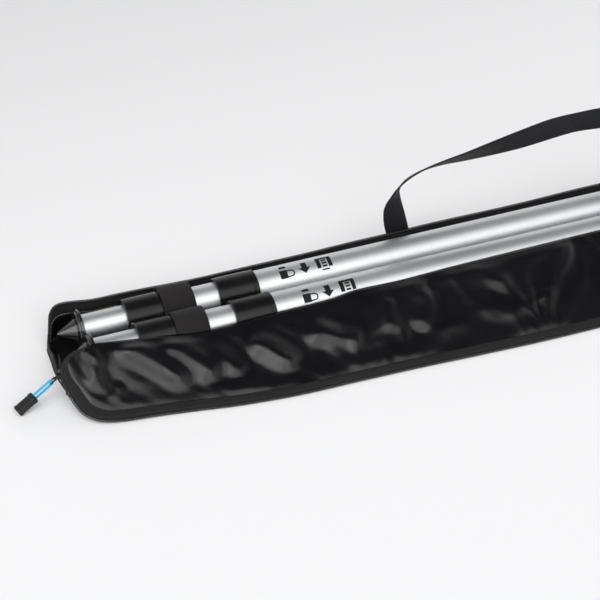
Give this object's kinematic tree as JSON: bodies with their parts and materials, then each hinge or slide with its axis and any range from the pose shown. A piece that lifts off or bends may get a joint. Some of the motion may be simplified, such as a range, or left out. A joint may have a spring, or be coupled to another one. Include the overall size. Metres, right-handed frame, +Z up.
{
  "type": "telescopic pole set in a zip case",
  "caption": "Long padded zip case lying open, with telescopic twist-lock poles held inside under elastic loops, a carry strap and a cord zip pull.",
  "frame": {"origin": "bottom centre of the case, on the surface it lies on, midway between the two poles and midway along the case", "axes": "+X along the poles towards their rubber feet, +Y towards the wall with the carry strap, +Z up"},
  "size_m": [0.981, 0.148, 0.104],
  "materials": {
    "shell_fabric": "matte black woven nylon",
    "lining_fabric": "glossy black coated nylon lining",
    "foam": "closed-cell foam sheet",
    "zip_tape": "matte black zip tape and binding",
    "zip_coil": "black nylon coil",
    "elastic": "matte black woven elastic",
    "webbing": "matte black flat webbing",
    "slider_metal": "black coated zinc",
    "cord": "bright cyan braided cord",
    "grip_plastic": "moulded matte black",
    "tube_aluminium": "satin anodised silver",
    "collar_plastic": "semi-gloss black moulding",
    "tip_plastic": "gloss black moulding",
    "lock_plastic": "natural white nylon",
    "screw_plastic": "dark moulded nylon",
    "foot_rubber": "matte black rubber"
  },
  "bodies": {
    "case": {"base_shell": "shell_fabric", "base_foam": "foam", "base_lining": "lining_fabric", "far_wall": "shell_fabric", "right_end_wall": "shell_fabric", "near_wall": "shell_fabric", "far_zip_tape": "zip_tape", "right_end_zip_tape": "zip_tape", "far_zip_coil": "zip_coil", "right_end_zip_coil": "zip_coil", "left_end_zip_tape": "zip_tape", "left_end_zip_coil": "zip_coil", "left_elastic_band": "elastic", "right_elastic_band": "elastic", "carry_strap": "webbing", "left_strap_patch": "webbing", "right_strap_patch": "webbing", "corner_zip_coil": "zip_coil", "zip_end_stop": "slider_metal"},
    "lid_strip": {"lid_hinge_strip": "shell_fabric"},
    "lid_panel": {"lid_shell": "shell_fabric", "lid_lining": "lining_fabric", "lid_zip_tape": "zip_tape", "lid_zip_coil": "zip_coil"},
    "slider": {"zip_slider": "slider_metal"},
    "pull": {"zip_pull_tab": "slider_metal", "pull_cord": "cord", "pull_grip": "grip_plastic"},
    "pole_1_outer": {"pole_1_outer_tube": "tube_aluminium", "pole_1_upper_collar": "collar_plastic", "pole_1_foot_cap": "foot_rubber"},
    "pole_1_upper_lock": {"pole_1_upper_lock_jaw": "lock_plastic"},
    "pole_1_mid": {"pole_1_mid_tube": "tube_aluminium", "pole_1_upper_lock_screw": "screw_plastic", "pole_1_lower_collar": "collar_plastic"},
    "pole_1_lower_lock": {"pole_1_lower_lock_jaw": "lock_plastic"},
    "pole_1_inner": {"pole_1_inner_tube": "tube_aluminium", "pole_1_lower_lock_screw": "screw_plastic", "pole_1_tip_plug": "tip_plastic", "pole_1_tip_cone": "tip_plastic"},
    "pole_2_outer": {"pole_2_outer_tube": "tube_aluminium", "pole_2_upper_collar": "collar_plastic", "pole_2_foot_cap": "foot_rubber"},
    "pole_2_upper_lock": {"pole_2_upper_lock_jaw": "lock_plastic"},
    "pole_2_mid": {"pole_2_mid_tube": "tube_aluminium", "pole_2_upper_lock_screw": "screw_plastic", "pole_2_lower_collar": "collar_plastic"},
    "pole_2_lower_lock": {"pole_2_lower_lock_jaw": "lock_plastic"},
    "pole_2_inner": {"pole_2_inner_tube": "tube_aluminium", "pole_2_lower_lock_screw": "screw_plastic", "pole_2_tip_plug": "tip_plastic", "pole_2_tip_cone": "tip_plastic"}
  },
  "joints": [
    {"name": "pole_1_withdraw", "type": "slide", "parent": "case", "child": "pole_1_outer", "axis": [-1, 0, 0], "range_m": [0, 0.93], "deforming": ["left_end_zip_tape", "left_end_zip_coil"]},
    {"name": "pole_1_upper_slide", "type": "slide", "parent": "pole_1_outer", "child": "pole_1_upper_lock", "axis": [-1, 0, 0], "range_m": [0, 0.65]},
    {"name": "pole_1_upper_twist", "type": "hinge", "parent": "pole_1_upper_lock", "child": "pole_1_mid", "pos_m": [0, 0.0162, 0.0205], "axis": [1, 0, 0], "range_deg": [-180, 0]},
    {"name": "pole_1_lower_slide", "type": "slide", "parent": "pole_1_mid", "child": "pole_1_lower_lock", "axis": [-1, 0, 0], "range_m": [0, 0.65]},
    {"name": "pole_1_lower_twist", "type": "hinge", "parent": "pole_1_lower_lock", "child": "pole_1_inner", "pos_m": [0, 0.0162, 0.0205], "axis": [1, 0, 0], "range_deg": [-180, 0]},
    {"name": "pole_2_withdraw", "type": "slide", "parent": "case", "child": "pole_2_outer", "axis": [-1, 0, 0], "range_m": [0, 0.93], "deforming": ["left_end_zip_tape", "left_end_zip_coil"]},
    {"name": "pole_2_upper_slide", "type": "slide", "parent": "pole_2_outer", "child": "pole_2_upper_lock", "axis": [-1, 0, 0], "range_m": [0, 0.65]},
    {"name": "pole_2_upper_twist", "type": "hinge", "parent": "pole_2_upper_lock", "child": "pole_2_mid", "pos_m": [0, -0.0162, 0.0205], "axis": [1, 0, 0], "range_deg": [-180, 0]},
    {"name": "pole_2_lower_slide", "type": "slide", "parent": "pole_2_mid", "child": "pole_2_lower_lock", "axis": [-1, 0, 0], "range_m": [0, 0.65]},
    {"name": "pole_2_lower_twist", "type": "hinge", "parent": "pole_2_lower_lock", "child": "pole_2_inner", "pos_m": [0, -0.0162, 0.0205], "axis": [1, 0, 0], "range_deg": [-180, 0]},
    {"name": "lid_fold", "type": "hinge", "parent": "case", "child": "lid_strip", "pos_m": [0, -0.036, 0.0294], "axis": [-1, 0, 0], "range_deg": [0, 153]},
    {"name": "lid_panel_fold", "type": "hinge", "parent": "lid_strip", "child": "lid_panel", "pos_m": [0, -0.04942, 0.02069], "axis": [-1, 0, 0], "range_deg": [0, 46.11]},
    {"name": "zip_slider_travel", "type": "slide", "parent": "case", "child": "slider", "axis": [0, 0, -1], "range_m": [0, 0.006]},
    {"name": "pull_swing", "type": "hinge", "parent": "slider", "child": "pull", "pos_m": [-0.4752, -0.036, 0.022], "axis": [-0.2079, 0.9781, 0], "range_deg": [0, 115]}
  ],
  "couplings": [
    {"joint": "lid_panel_fold", "follows": "lid_fold", "ratio": 0.3013}
  ]
}
